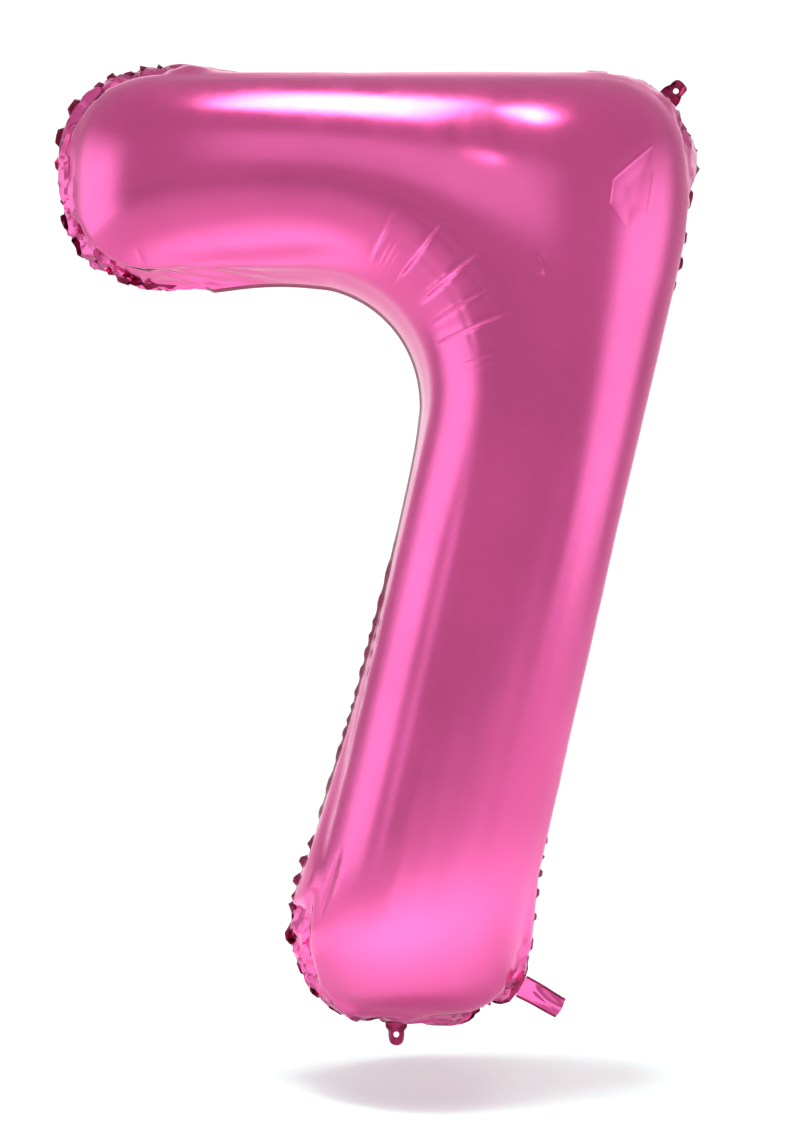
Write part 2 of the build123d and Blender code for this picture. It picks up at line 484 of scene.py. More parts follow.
class Film:
    """One film seen from the front: points, faces and depths, with the seam's points first."""

    def __init__(self, sizes):
        corners = seal_corners(sizes.seam_width)
        self.corners = corners
        self.seam, self.curvature = rounded(corners, OUTLINE_RADII, sizes.spacing)
        self.out = outward_normals(self.seam)
        self.count = len(self.seam)
        from_elbow = np.array([-ELBOW_RADIUS * (1 / cos(LEG_LEAN) + tan(LEG_LEAN)), -ELBOW_RADIUS])
        self.elbow_centre = corners[5] + from_elbow
        self.rings = [TUBE_RADIUS * (1 - cos(k * sizes.spacing / TUBE_RADIUS)) for k in range(RING_COUNT)]
        self.points, self.faces = self.mesh(sizes.spacing)
        self.depth = self.depths()

    def mesh(self, spacing):
        """Rings of four-sided faces along the seam, and triangles inside them."""
        rings = [self.seam - self.out * inset for inset in self.rings]
        innermost = rings[-1]
        low, high = self.seam.min(0), self.seam.max(0)
        margin = self.seam - self.out * (self.rings[-1] + spacing * 0.6)
        grid = honeycomb(low, high, spacing, 1)
        grid = grid[contains(margin, grid)]
        fine = honeycomb(low, high, spacing * FINE_SHARE, 2)
        fine = fine[contains(margin, fine) & self.creased(fine)]
        grid = np.concatenate([grid[~self.creased(grid)], fine])
        strips, spines = crease_strips(self.elbow_centre)
        strips = strips[contains(margin, strips)]
        keep = np.ones(len(grid), bool)
        for start, end in spines:
            keep &= distance_to(grid, start, end) > STRIP_OFFSETS[-1] * MM + spacing * 0.2
        grid = np.concatenate([grid[keep], thinned(strips, 0.55 * MM)])
        n = self.count
        flat = [Vector(p) for p in np.concatenate([innermost, grid])]
        border = [(i, (i + 1) % n) for i in range(n)]
        _, _, triangles, _, _, _ = delaunay_2d_cdt(flat, border, [], 1, 1e-7)
        offset = (RING_COUNT - 1) * n
        faces = []
        for k in range(RING_COUNT - 1):
            faces += row_faces(k * n, (k + 1) * n, n)
        points = np.concatenate(rings + [grid])
        for triangle in triangles:
            a, b, c = (offset + i for i in triangle)
            faces.append((a, b, c) if anticlockwise(points[a], points[b], points[c]) else (a, c, b))
        return points, faces

    def creased(self, points):
        """Where the film is creased and needs a finer mesh: the bend's inside and the outer corner."""
        reach = np.linalg.norm(points - self.elbow_centre, axis=1)
        x, z = (points - self.elbow_centre).T
        angle = np.degrees(np.arctan2(z, x))
        bend = (reach < 205 * MM) & (angle > -6) & (angle < 76)
        facet = np.linalg.norm(points - (self.corners[1] - [70 * MM, 122 * MM]), axis=1) < 62 * MM
        return bend | facet

    def depths(self):
        """Depth of the inflated film: the root of a membrane's sag, which makes a round tube."""
        count = len(self.points)
        triangles = []
        for face in self.faces:
            triangles.append(face[:3])
            if len(face) == 4:
                triangles.append((face[0], face[2], face[3]))
        t = np.array(triangles)
        a, b, c = (self.points[t[:, k]] for k in range(3))
        area = np.abs((b - a)[:, 0] * (c - a)[:, 1] - (b - a)[:, 1] * (c - a)[:, 0]) / 2
        area = np.maximum(area, 1e-12)
        rows, columns, values = [], [], []
        for i, j, k in ((0, 1, 2), (1, 2, 0), (2, 0, 1)):
            p, q, r = (self.points[t[:, m]] for m in (i, j, k))
            weight = ((p - r) * (q - r)).sum(1) / (4 * area)
            rows += [t[:, i], t[:, j]]
            columns += [t[:, j], t[:, i]]
            values += [weight, weight]
        rows, columns, values = np.concatenate(rows), np.concatenate(columns), np.concatenate(values)
        diagonal = np.bincount(rows, values, count)
        load = np.zeros(count)
        for k in range(3):
            load += np.bincount(t[:, k], area / 3, count)
        load *= 2
        free = np.ones(count, bool)
        free[: self.count] = False

        def stiffness(u):
            return diagonal * u - np.bincount(rows, values * u[columns], count)

        u = np.zeros(count)
        residual = np.where(free, load, 0)
        ready = np.where(free, residual / diagonal, 0)
        step = ready.copy()
        energy = residual @ ready
        first = energy
        for _ in range(4000):
            pushed = np.where(free, stiffness(step), 0)
            size = energy / (step @ pushed)
            u += size * step
            residual -= size * pushed
            ready = np.where(free, residual / diagonal, 0)
            fresh = residual @ ready
            if fresh < first * 1e-12:
                break
            step = ready + step * (fresh / energy)
            energy = fresh
        return np.sqrt(np.maximum(u, 0))


# ---------------------------------------------------------------- puckers along the seam

def smoothed(values, width):
    """A closed row of values blurred over that many points to each side."""
    count = len(values)
    offset = np.minimum(np.arange(count), count - np.arange(count))
    kernel = np.exp(-0.5 * (offset / width) ** 2)
    kernel /= kernel.sum()
    return np.real(np.fft.ifft(np.fft.fft(values) * np.fft.fft(kernel)))


def unrolled(spacing, share, part):
    """Where each ring lies with the film's curl partly undone.

    With sin as the part it gives how far in from the seam, and with cos how far out of its plane.
    """
    places = [0.0]
    for k in range(RING_COUNT - 1):
        curl = (k + 0.5) * spacing / TUBE_RADIUS
        places.append(places[-1] + spacing * part(curl + share * (pi / 2 - curl)))
    return np.array(places)


def margin_widths(sizes):
    """How far outside the seam each row of the welded margin lies before it folds."""
    return [sizes.seam_width * (k + 1) / FLANGE_STEPS for k in range(FLANGE_STEPS)]


def band_faces(count):
    """Faces of the band along the seam: front rings, then rear rings, then the welded margin."""
    faces = []
    for k in range(RING_COUNT - 1):
        faces += row_faces(k * count, (k + 1) * count, count)
    for first, rows in ((RING_COUNT, RING_COUNT - 1), (BAND_FILM_ROWS, FLANGE_STEPS)):
        for k in range(rows):
            a = (first - 1 + k) * count if k else 0
            faces += flipped(row_faces(a, (first + k) * count, count))
    return faces


def steady_stretches(film, extra=0.0):
    """Which seam points stay put: those at the roots of the tabs and of the tail."""
    corner_tab = np.array([-12.0, -12.0]) * MM
    bottom_tab = np.array([bottom_tab_middle(), film.seam[:, 1].min()])
    steady = np.full(film.count, False)
    for root, reach in ((corner_tab, 17 * MM), (bottom_tab, 15 * MM), (TAIL_ROOT, 17 * MM)):
        steady |= np.linalg.norm(film.seam - root, axis=1) < reach + extra
    return steady


def lobe_wave(film):
    """An uneven wave along the seam from -1 to 1, one crest for each lobe of the margin."""
    gap = np.linalg.norm(np.roll(film.seam, -1, 0) - film.seam, axis=1)
    uneven = smoothed(np.random.default_rng(11).normal(0, 1, film.count), 4)
    length = (LOBE_LENGTH + LOBE_SPREAD * uneven / uneven.std()) * MM
    turns = np.cumsum(gap / np.clip(length, 12 * MM, 42 * MM))
    return np.sin(2 * pi * turns * round(turns[-1]) / turns[-1])


def margin_open(film):
    """How far the margin stands open instead of folded back, from 0 to 1, before its lobes."""
    return np.clip(faded(smoothed(np.maximum(film.curvature, 0), 5) * 0.12) + looseness(film), 0, 1)


def margin_lean(film):
    """How far the welded margin is folded towards the rear at each seam point, in radians."""
    open_share = margin_open(film) * (0.08 + 0.92 * faded(0.5 + 0.95 * lobe_wave(film)))
    open_share = np.maximum(open_share, smoothed(steady_stretches(film, 6 * MM).astype(float), 2))
    return FOLDED_BACK * (1 - np.clip(open_share, 0, 1))


def margin_ring(film, margin, shift=0.0):
    """One row of the welded margin, that far outside the seam."""
    lean = margin_lean(film)
    flat = film.seam + film.out * (shift + margin * np.cos(lean))[:, None]
    return lifted(flat, margin * np.sin(lean))


def band_points(film, insets, depths, shift, margins):
    """Points of the band, moved out by shift at each place along the seam."""
    def ring(inset, y):
        return lifted(film.seam + film.out * (shift - inset)[:, None], y)

    rings = [ring(insets[k], FRONT_SIDE * depths[k]) for k in range(RING_COUNT)]
    rings += [ring(insets[k], REAR_SIDE * depths[k]) for k in range(1, RING_COUNT)]
    rings += [margin_ring(film, margin, shift) for margin in margins]
    return np.concatenate(rings)


def pucker_band(film, sizes, held):
    """Settles the band along the seam as cloth under the gas's pressure, and gives each point's move.

    The film was cut flat, so along each rounded stretch of the seam there is more of it than the
    inflated shape needs. The spare length gathers into scallops and short radial folds.
    """
    n = film.count
    spacing = sizes.spacing
    margins = margin_widths(sizes)
    start_insets = [np.full(n, inset) for inset in film.rings]
    start_depths = [film.depth[k * n : (k + 1) * n] for k in range(RING_COUNT)]
    start = band_points(film, start_insets, start_depths, np.zeros(n), margins)

    share = sizes.pucker
    loose_insets = unrolled(spacing, share, sin)
    loose_depths = unrolled(spacing, share, cos)
    shift = loose_insets[-1] - film.rings[-1]
    # Bending the whole band out by shift lengthens each rounded stretch by shift over its radius.
    rest = band_points(
        film,
        [np.full(n, inset) for inset in loose_insets],
        [np.full(n, depth) for depth in loose_depths],
        np.full(n, shift),
        margins,
    )

    faces = band_faces(n)
    mesh = bpy.data.meshes.new("seam_band")
    rng = np.random.default_rng(7)
    noisy = start.copy()
    noisy[:, 1] += rng.normal(0, 0.2 * MM, len(start))
    swing = lobe_wave(film) * margin_open(film) * ~held * LOBE_SWING
    rings_in = np.concatenate([np.arange(RING_COUNT), np.arange(1, RING_COUNT), np.zeros(FLANGE_STEPS)])
    noisy[:, 1] += (np.clip(1 - rings_in / 6, 0, 1)[:, None] * swing[None]).ravel()
    mesh.from_pydata(noisy.tolist(), [], faces)
    band = bpy.data.objects.new("seam_band", mesh)
    bpy.context.collection.objects.link(band)
    activate(band)

    blown = band.vertex_groups.new(name="blown")
    margin_start = BAND_FILM_ROWS * n
    blown.add(list(range(margin_start)), 1.0, "ADD")
    pinned = band.vertex_groups.new(name="pinned")
    for rows_end in (RING_COUNT * n, margin_start):
        pinned.add(list(range(rows_end - n, rows_end)), 1.0, "ADD")
    still = np.nonzero(held)[0].tolist()
    for first in (0, margin_start, margin_start + n):
        pinned.add([first + i for i in still], 1.0, "ADD")

    loose = band.vertex_groups.new(name="loose")
    amount = looseness(film)
    for i in np.nonzero(amount > 0.02)[0].tolist():
        for k in range(8):
            weight = float(amount[i] * (1 - k / 8))
            rows = (k, RING_COUNT - 1 + k) if k else (0, BAND_FILM_ROWS, BAND_FILM_ROWS + 1)
            loose.add([row * n + i for row in rows], weight, "REPLACE")

    band.shape_key_add(name="Basis")
    key = band.shape_key_add(name="cut")
    key.data.foreach_set("co", rest.ravel())
    key.value = 0

    weld = band.modifiers.new("weld", "WELD")
    weld.merge_threshold = 1e-6
    cloth = band.modifiers.new("cloth", "CLOTH")
    settings = cloth.settings
    settings.quality = 6
    settings.mass = CLOTH_MASS
    settings.air_damping = 4
    settings.bending_model = "ANGULAR"
    settings.tension_stiffness = CLOTH_STRETCH
    settings.compression_stiffness = CLOTH_STRETCH
    settings.shear_stiffness = CLOTH_STRETCH * 0.4
    settings.bending_stiffness = CLOTH_BEND
    for kind in ("tension", "compression", "shear"):
        setattr(settings, kind + "_damping", CLOTH_DAMPING)
    settings.bending_damping = 0.5
    settings.use_pressure = True
    settings.uniform_pressure_force = CLOTH_PRESSURE
    settings.vertex_group_pressure = "blown"
    settings.vertex_group_mass = "pinned"
    settings.vertex_group_shrink = "loose"
    settings.shrink_min = 0.0
    settings.shrink_max = -sizes.slack
    settings.rest_shape_key = key
    settings.effector_weights.gravity = 0
    cloth.collision_settings.use_self_collision = False
    cloth.collision_settings.use_collision = False
    last = sizes.settle_frames
    cloth.point_cache.frame_start = 1
    cloth.point_cache.frame_end = last
    scene = bpy.context.scene
    scene.frame_start, scene.frame_end = 1, last
    for frame_number in range(1, last + 1):
        scene.frame_set(frame_number)
    evaluated = band.evaluated_get(bpy.context.evaluated_depsgraph_get())
    settled = np.empty(len(start) * 3)
    evaluated.data.vertices.foreach_get("co", settled)
    settled = settled.reshape(-1, 3)
    bpy.data.objects.remove(band)
    bpy.data.meshes.remove(mesh)
    scene.frame_set(1)
    move = settled - start
    size = np.linalg.norm(move, axis=1)
    inward_fade = np.repeat(faded((RING_COUNT - 0.5 - rings_in) / 5), n)
    return move * (inward_fade * np.minimum(1, LARGEST_MOVE / np.maximum(size, 1e-9)))[:, None]


def looseness(film):
    """How much spare film each seam point has beyond what its bend gives, from 0 to 1."""
    amount = np.zeros(film.count)
    for centre, reach, strength in LOOSE_STRETCHES:
        apart = np.linalg.norm(film.seam - np.array(centre) * MM, axis=1) / (reach * MM)
        amount = np.maximum(amount, strength * faded((1 - apart) / 0.5))
    return amount


# ---------------------------------------------------------------- building blocks

def add_object(name, points, faces, values=None):
    """A new smooth mesh object at the origin, with its place in its mesh."""
    mesh = bpy.data.meshes.new(name)
    mesh.from_pydata([tuple(map(float, p)) for p in points], [], faces)
    mesh.validate()
    if values is not None:
        attribute = mesh.attributes.new("from_seam", "FLOAT", "POINT")
        attribute.data.foreach_set("value", np.asarray(values, np.float32))
    thing = bpy.data.objects.new(name, mesh)
    bpy.context.collection.objects.link(thing)
    return thing


def activate(thing):
    """Selects one object alone and makes it active."""
    bpy.ops.object.select_all(action="DESELECT")
    thing.select_set(True)
    bpy.context.view_layer.objects.active = thing


def thicken(thing, thickness):
    """Gives a sheet its thickness on its outer side and applies it."""
    activate(thing)
    solid = thing.modifiers.new("film", "SOLIDIFY")
    solid.thickness = thickness
    solid.offset = 1
    bpy.ops.object.modifier_apply(modifier=solid.name)
    bpy.ops.object.shade_smooth_by_angle(angle=radians(50))


def paint(thing, material):
    """Gives an object one material."""
    thing.data.materials.clear()
    thing.data.materials.append(material)


def ribbon_table(first, last, rows, columns):
    """Distances along a ribbon, and places across it from -1 to 1, as a table of points."""
    along = np.linspace(first, last, rows + 1)[:, None] * np.ones(columns + 1)
    across = np.linspace(-1, 1, columns + 1)[None, :] * np.ones((rows + 1, 1))
    return along, across


def ribbon(name, side, root, angle, u, v, y, values=None):
    """A ribbon of film through a table of points, u along that angle from its root and v across it."""
    points = lifted(root + u[..., None] * direction(angle) + v[..., None] * direction(angle + 90), y)
    rows, width = u.shape
    faces = [
        (r * width + c, (r + 1) * width + c, (r + 1) * width + c + 1, r * width + c + 1)
        for r in range(rows - 1)
        for c in range(width - 1)
    ]
    return add_object(name, points.reshape(-1, 3), flipped(faces) if side == REAR_SIDE else faces, values)


def patch(outline, hole, spacing):
    """Flat points and triangles that fill an outline and leave its hole open."""
    loops = [np.array(outline), np.array(hole)]
    low, high = loops[0].min(0), loops[0].max(0)
    grid = honeycomb(low, high, spacing, 3)
    keep = contains(loops[0], grid)
    for loop in loops:
        gap = np.linalg.norm(grid[:, None] - loop[None], axis=2).min(1)
        keep &= gap > spacing * 0.55
    grid = grid[keep & ~contains(loops[1], grid)]
    points = np.concatenate(loops + [grid])
    borders = []
    first = 0
    for loop in loops:
        borders += [(first + i, first + (i + 1) % len(loop)) for i in range(len(loop))]
        first += len(loop)
    _, _, triangles, _, _, _ = delaunay_2d_cdt([Vector(p) for p in points], borders, [], 1, 1e-7)
    kept = []
    for triangle in triangles:
        middle = points[list(triangle)].mean(0)[None]
        if contains(loops[0], middle)[0] and not contains(loops[1], middle)[0]:
            rising = anticlockwise(*(points[i] for i in triangle))
            kept.append(tuple(triangle) if rising else tuple(triangle[::-1]))
    return points, kept


# ---------------------------------------------------------------- finishes

class Nodes:
    """Short names for building one material's nodes."""

    def __init__(self, name):
        self.material = bpy.data.materials.new(name)
        self.material.use_nodes = True
        self.tree = self.material.node_tree
        self.shader = next(n for n in self.tree.nodes if n.type == "BSDF_PRINCIPLED")
        self.place = self.add("ShaderNodeTexCoord").outputs["Object"]

    def add(self, kind, inputs=None, **options):
        """A node with its options and its inputs set, each either a value or another node's output."""
        node = self.tree.nodes.new(kind)
        for name, value in options.items():
            setattr(node, name, value)
        for name, value in (inputs or {}).items():
            self.feed(node.inputs[name], value)
        return node

    def feed(self, socket, value):
        """Links an output to a socket, or sets the socket's own value."""
        if isinstance(value, bpy.types.NodeSocket):
            self.tree.links.new(value, socket)
        else:
            socket.default_value = value

    def stretched(self, scale):
        """Object coordinates scaled differently along each axis."""
        return self.add("ShaderNodeMapping", {"Vector": self.place, "Scale": scale}).outputs["Vector"]

    def noise(self, vector, scale, detail=2.0, roughness=0.5):
        """A noise value from 0 to 1."""
        inputs = {"Vector": vector, "Scale": scale, "Detail": detail, "Roughness": roughness}
        return self.add("ShaderNodeTexNoise", inputs).outputs["Fac"]

    def span(self, value, low, high, to_low, to_high):
        """A value moved from one range to another and held within it."""
        inputs = {"Value": value, "From Min": low, "From Max": high, "To Min": to_low, "To Max": to_high}
        return self.add("ShaderNodeMapRange", inputs).outputs["Result"]

    def mix(self, share, first, second):
        """A blend of two colours."""
        node = self.add("ShaderNodeMix", data_type="RGBA")
        self.feed(node.inputs[0], share)
        self.feed(node.inputs[6], first)
        self.feed(node.inputs[7], second)
        return node.outputs[2]

    def bump(self, height, distance, strength, under=None):
        """A bump on top of another one."""
        inputs = {"Height": height, "Distance": distance, "Strength": strength}
        if under is not None:
            inputs["Normal"] = under
        return self.add("ShaderNodeBump", inputs).outputs["Normal"]


def with_alpha(colour, gain=1.0):
    """A colour property as the four numbers that a socket takes."""
    return tuple(min(1.0, channel * gain) for channel in colour) + (1.0,)


def foil_finish(finish):
    """Pink metallised film: mirror-like with faint roll lines, and a ribbed weld along its seam, darkened
    partly for the weld's duller tone and partly as painted shade.
    """
    nodes = Nodes("pink_foil")
    colour = finish.foil_colour
    from_seam = nodes.add("ShaderNodeAttribute", attribute_name="from_seam").outputs["Fac"]
    margin = nodes.span(from_seam, -0.3 * MM, 0.4 * MM, 1.0, 0.0)
    cloudy = nodes.noise(nodes.place, 9.0, 3.0)
    clouds = nodes.span(cloudy, 0.3, 0.7, 0.0, 1.0)
    tint = nodes.mix(clouds, with_alpha(colour, 0.93), with_alpha(colour, 1.06))
    # Painted shade, partly: the welded margin, the tabs and the tail's welded sides are darkened to deep
    # maroon, part the weld's own duller tone and part painted shade of the folded-back lobes.
    weld_tone_and_shade = (colour[0] * 0.32, colour[1] * 0.18, colour[2] * 0.20, 1.0)
    nodes.feed(nodes.shader.inputs["Base Color"], nodes.mix(margin, tint, weld_tone_and_shade))
    nodes.shader.inputs["Metallic"].default_value = 1.0
    smear = nodes.noise(nodes.stretched((1.0, 1.0, 0.25)), 38.0, 4.0, 0.6)
    gloss = nodes.span(smear, 0.3, 0.7, finish.foil_roughness * 0.82, finish.foil_roughness * 1.25)
    nodes.feed(nodes.shader.inputs["Roughness"], gloss)
    lines = nodes.noise(nodes.stretched((1.0, 1.0, 0.015)), 900.0, 2.0)
    crinkle = nodes.noise(nodes.place, 26.0, 3.0, 0.55)
    rib_inputs = {"Vector": nodes.place, "Scale": 260.0, "Distortion": 2.0}
    ribs = nodes.add("ShaderNodeTexWave", rib_inputs).outputs["Fac"]
    rib_height = nodes.add("ShaderNodeMath", {0: ribs, 1: margin}, operation="MULTIPLY").outputs[0]
    normal = nodes.bump(lines, 0.00002, 0.35)
    normal = nodes.bump(crinkle, 0.0012, 0.10, normal)
    normal = nodes.bump(rib_height, 0.0003, 0.6, normal)
    nodes.feed(nodes.shader.inputs["Normal"], normal)
    return nodes.material


def valve_finish(finish):
    """Soft milky plastic film with faint creases."""
    nodes = Nodes("valve_film")
    haze = nodes.noise(nodes.place, 120.0, 3.0)
    cloudy = nodes.span(haze, 0.3, 0.7, 0.0, 1.0)
    colour = nodes.mix(cloudy, with_alpha(finish.valve_colour, 0.9), with_alpha(finish.valve_colour))
    nodes.feed(nodes.shader.inputs["Base Color"], colour)
    nodes.feed(nodes.shader.inputs["Roughness"], nodes.span(haze, 0.3, 0.7, 0.22, 0.38))
    creases = nodes.noise(nodes.stretched((1.0, 1.0, 0.3)), 220.0, 3.0)
    nodes.feed(nodes.shader.inputs["Normal"], nodes.bump(creases, 0.0004, 0.4))
    nodes.shader.inputs["Alpha"].default_value = 0.75
    return nodes.material


def stage_finish():
    """Plain pale paper."""
    nodes = Nodes("pale_paper")
    grain = nodes.noise(nodes.place, 400.0, 2.0)
    white = nodes.mix(grain, (0.88, 0.88, 0.88, 1), (0.92, 0.92, 0.92, 1))
    nodes.feed(nodes.shader.inputs["Base Color"], white)
    nodes.feed(nodes.shader.inputs["Roughness"], nodes.span(grain, 0.0, 1.0, 0.75, 0.85))
    return nodes.material


def shared(name, make, finish):
    """The finish of that name, made once."""
    return bpy.data.materials.get(name) or make(finish)


def make_foil(thing, scene):
    """Gives a sheet the foil's thickness and its finish."""
    thicken(thing, scene.balloon_film.thickness)
    paint(thing, shared("pink_foil", foil_finish, scene.balloon_finish))


# ---------------------------------------------------------------- operators

def tab_places():
    """Each hanging tab's body, its hole's middle, its two directions, and which way its sides curl."""
    low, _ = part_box("bottom_tab_front")
    bottom = np.array([bottom_tab_middle(), low[2] + EYELET_TO_TIP])
    return [
        ("corner_tab", np.zeros(2), direction(45), direction(135), 1.0),
        ("bottom_tab", bottom, direction(-90), direction(0), -1.0),
    ]


def behind_tabs(points, reach):
    """Film points pushed back from each tab's fold, so that the curled tab folds up past them."""
    points = points.copy()
    for _, eyelet, ahead, across, _ in tab_places():
        height = np.abs(points[:, 1])
        place = points[:, [0, 2]] - (eyelet - ahead * reach)
        past = np.maximum(place @ ahead + TAB_CLEARANCE, 0)
        beside = faded((14 * MM - np.abs(place @ across)) / (3 * MM))
        raised = faded(height / (1.5 * MM)) * faded((40 * MM - height) / (14 * MM))
        points[:, [0, 2]] -= (past * beside * raised)[:, None] * ahead
    return points


class BALLOON_OT_films(bpy.types.Operator):
    """Add the front and rear foil films, inflated and puckered along their shared seam"""

    bl_idname = "balloon.films"
    bl_label = "Inflated films"

    def execute(self, context):
        sizes = context.scene.balloon_film
        film = Film(sizes)
        n = film.count
        margins = margin_widths(sizes)
        move = pucker_band(film, sizes, steady_stretches(film))

        folds, ridges = elbow_folds(film, film.points), leg_ridges(film, film.points)
        creases = folds + straight_grooves(film.points) + corner_facet(film.points) + ridges
        shallow = faded(film.depth / (30 * MM))
        front_depth = np.maximum(film.depth + creases * shallow, 0)
        rear_depth = film.depth + (folds * 0.8 + ridges) * shallow
        rear_move = np.concatenate([move[:n], move[RING_COUNT * n : BAND_FILM_ROWS * n]])
        own_share = np.tile(margin_open(film), FLANGE_STEPS)[:, None]
        with_seam = np.tile(move[:n], (FLANGE_STEPS, 1))
        margin_move = with_seam + (move[BAND_FILM_ROWS * n :] - with_seam) * own_share
        for name, side, depth, own in (
            ("front_film", FRONT_SIDE, front_depth, move[: RING_COUNT * n]),
            ("rear_film", REAR_SIDE, rear_depth, rear_move),
        ):
            points = lifted(film.points, side * depth)
            points[: RING_COUNT * n] += own
            points = behind_tabs(points, context.scene.balloon_flaps.eyelet_reach)
            total = len(points)
            points = np.concatenate([points] + [margin_ring(film, margin) for margin in margins])
            points[total:] += margin_move
            faces = list(film.faces)
            for k in range(FLANGE_STEPS):
                a = total + (k - 1) * n if k else 0
                faces += flipped(row_faces(a, total + k * n, n))
            if side == REAR_SIDE:
                faces = flipped(faces)
            # The welded margin rows get negative from_seam values. The foil finish darkens these rows to a
            # colour that is partly the weld's duller tone and partly painted shade.
            values = np.full(len(points), 60 * MM)
            for k in range(RING_COUNT):
                values[k * n : (k + 1) * n] = k * sizes.spacing
            for k in range(FLANGE_STEPS):
                values[total + k * n : total + (k + 1) * n] = -margins[k]
            thing = add_object(name, points, faces, values)
            make_foil(thing, context.scene)
            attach(thing, "balloon")
            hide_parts("front_panel" if side == FRONT_SIDE else "rear_panel")
        return {"FINISHED"}


def tab_outline(width, start, length):
    """Outline of a tab with a round end, which runs along u from start to length."""
    half = width / 2
    straight = [(start + (length - half - start) * k / 10, -half) for k in range(10)]
    end = [(length - half + half * cos(a), half * sin(a)) for a in np.linspace(-pi / 2, pi / 2, 25)]
    back = [(u, -v) for u, v in reversed(straight)]
    return straight + end + back


class BALLOON_OT_tabs(bpy.types.Operator):
    """Add the two punched hanging tabs, each of two welded films"""

    bl_idname = "balloon.tabs"
    bl_label = "Hanging tabs"

    def execute(self, context):
        flaps = context.scene.balloon_flaps
        reach = flaps.eyelet_reach
        turns = np.linspace(0, 2 * pi, 33)[:-1]
        hole = [(flaps.eyelet_radius * cos(a), flaps.eyelet_radius * sin(a)) for a in turns]
        for body, eyelet, ahead, across, curl in tab_places():
            outline = tab_outline(flaps.tab_width, -reach - 0.4 * MM, EYELET_TO_TIP)
            flat, faces = patch(outline, hole, 0.8 * MM)
            u, v = flat[:, 0], flat[:, 1]
            free = faded((u + reach) / (9 * MM))
            rolled = v / flaps.curl_radius * (0.35 + 0.65 * free) * free
            is_rolled = np.abs(rolled) > 1e-6
            turn = np.where(is_rolled, rolled, 1)
            side_step = np.where(is_rolled, v * np.sin(turn) / turn, v)
            lift = np.where(is_rolled, np.abs(v) * (1 - np.cos(turn)) / np.abs(turn), 0)
            from_eyelet = np.minimum(1, np.hypot(u, v) / (6 * MM))
            ripple = 0.35 * MM * np.sin(v / (1.9 * MM) + u / (4 * MM)) * free * from_eyelet
            y = -curl * lift + ripple
            place = eyelet + u[:, None] * ahead + side_step[:, None] * across
            margin_turn = np.sign(ahead[0] * across[1] - ahead[1] * across[0])
            for side, name in SIDES:
                outward = faces if side * margin_turn == FRONT_SIDE else flipped(faces)
                # A negative from_seam value gives the whole tab the dark weld colour, which is partly its
                # duller tone and partly painted shade.
                values = np.full(len(flat), -2 * MM)
                thing = add_object(f"{body}_{name}_film", lifted(place, y), outward, values)
                make_foil(thing, context.scene)
                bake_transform(thing)
                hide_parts(f"{body}_{name}")
        return {"FINISHED"}


class BALLOON_OT_tail(bpy.types.Operator):
    """Add the filling tail: two films welded along their sides and open at the mouth"""

    bl_idname = "balloon.tail"
    bl_label = "Filling tail"

    def execute(self, context):
        sizes = context.scene.balloon_film
        flaps = context.scene.balloon_flaps
        first, last = sizes.seam_width - 0.4 * MM, 47.4 * MM
        u, t = ribbon_table(first, last, 44, 28)
        share = (u - first) / (last - first)
        half = flaps.tail_width / 2 - share * 1 * MM
        v = t * half
        passage = 8.5 * MM - 1.2 * MM * share
        gape = (0.3 + 3.9 * faded((share - 0.12) / 0.88)) * MM
        bulge = gape * np.maximum(1 - (v / passage) ** 2, 0) ** 0.8
        sway = 1.6 * MM * np.sin(share * 5.2) * faded(share * 3)
        sway += 0.5 * MM * np.sin(t * 2.5 + share * 4) * share
        crease = 0.35 * MM * np.exp(-(((v / MM + 9 * (share - 0.5)) / 1.2) ** 2)) * faded(share * 4)
        # The welded sides get a negative from_seam value, which gives them the dark weld colour. This colour
        # is partly the weld's duller tone and partly painted shade.
        weld = np.where(np.abs(v) > passage, -3 * MM, 30 * MM)
        for side, name in SIDES:
            y = sway + side * (bulge - crease * (bulge > 0.6 * MM))
            thing = ribbon(f"tail_{name}_film", side, TAIL_ROOT, TAIL_ANGLE, u, v, y, weld.ravel())
            make_foil(thing, context.scene)
            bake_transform(thing)
            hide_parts(f"tail_{name}")
        return {"FINISHED"}


class BALLOON_OT_valve(bpy.types.Operator):
    """Add the two soft films of the self-closing valve inside the balloon"""

    bl_idname = "balloon.valve"
    bl_label = "Valve films"

    def execute(self, context):
        flaps = context.scene.balloon_flaps
        u, t = ribbon_table(0, VALVE_LENGTH, 60, 14)
        v = t * flaps.valve_width / 2
        share = u / VALVE_LENGTH
        wave = 0.5 * MM * (1 + np.sin(share * 17 + v / (6 * MM))) * faded((share - 0.15) / 0.5)
        for side, name in SIDES:
            y = side * (0.35 * MM + wave)
            thing = ribbon(f"valve_{name}_sleeve", side, VALVE_ROOT, TAIL_ANGLE + 180, u, v, y)
            thicken(thing, 0.2 * MM)
            paint(thing, shared("valve_film", valve_finish, context.scene.balloon_finish))
            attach(thing, f"valve_{name}")
            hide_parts(f"valve_{name}_film")
        return {"FINISHED"}


COOL = (0.70, 1.0, 0.93)
WHITE = (1.0, 1.0, 1.0)
# Soft lights: name, place and size in metres, watts, colour, and whether the foil mirrors them.
LIGHTS = [
    ("key_softbox", (-0.44, -0.37, 1.24), (0.62, 0.80), 16.0, WHITE, True),
    ("corner_softbox", (0.10, -0.45, 1.20), (0.22, 0.45), 4.5, WHITE, True),
    ("window_softbox", (-0.18, -1.25, 0.85), (0.26, 0.20), 0.5, WHITE, True),
    ("left_wall", (-2.4, -0.30, -0.3), (2.7, 3.4), 40, COOL, True),
    ("right_wall", (1.9, -0.40, -0.3), (2.3, 3.4), 31, COOL, True),
    ("front_glow", (-0.3, -2.7, 1.1), (3.4, 2.4), 16, COOL, True),
    ("paper_wash", (-0.25, 0.2, 1.7), (3.0, 0.6), 52, (1.0, 0.92, 0.94), False),
]
PAPER_AIM = (-0.25, 1.6, -0.2)


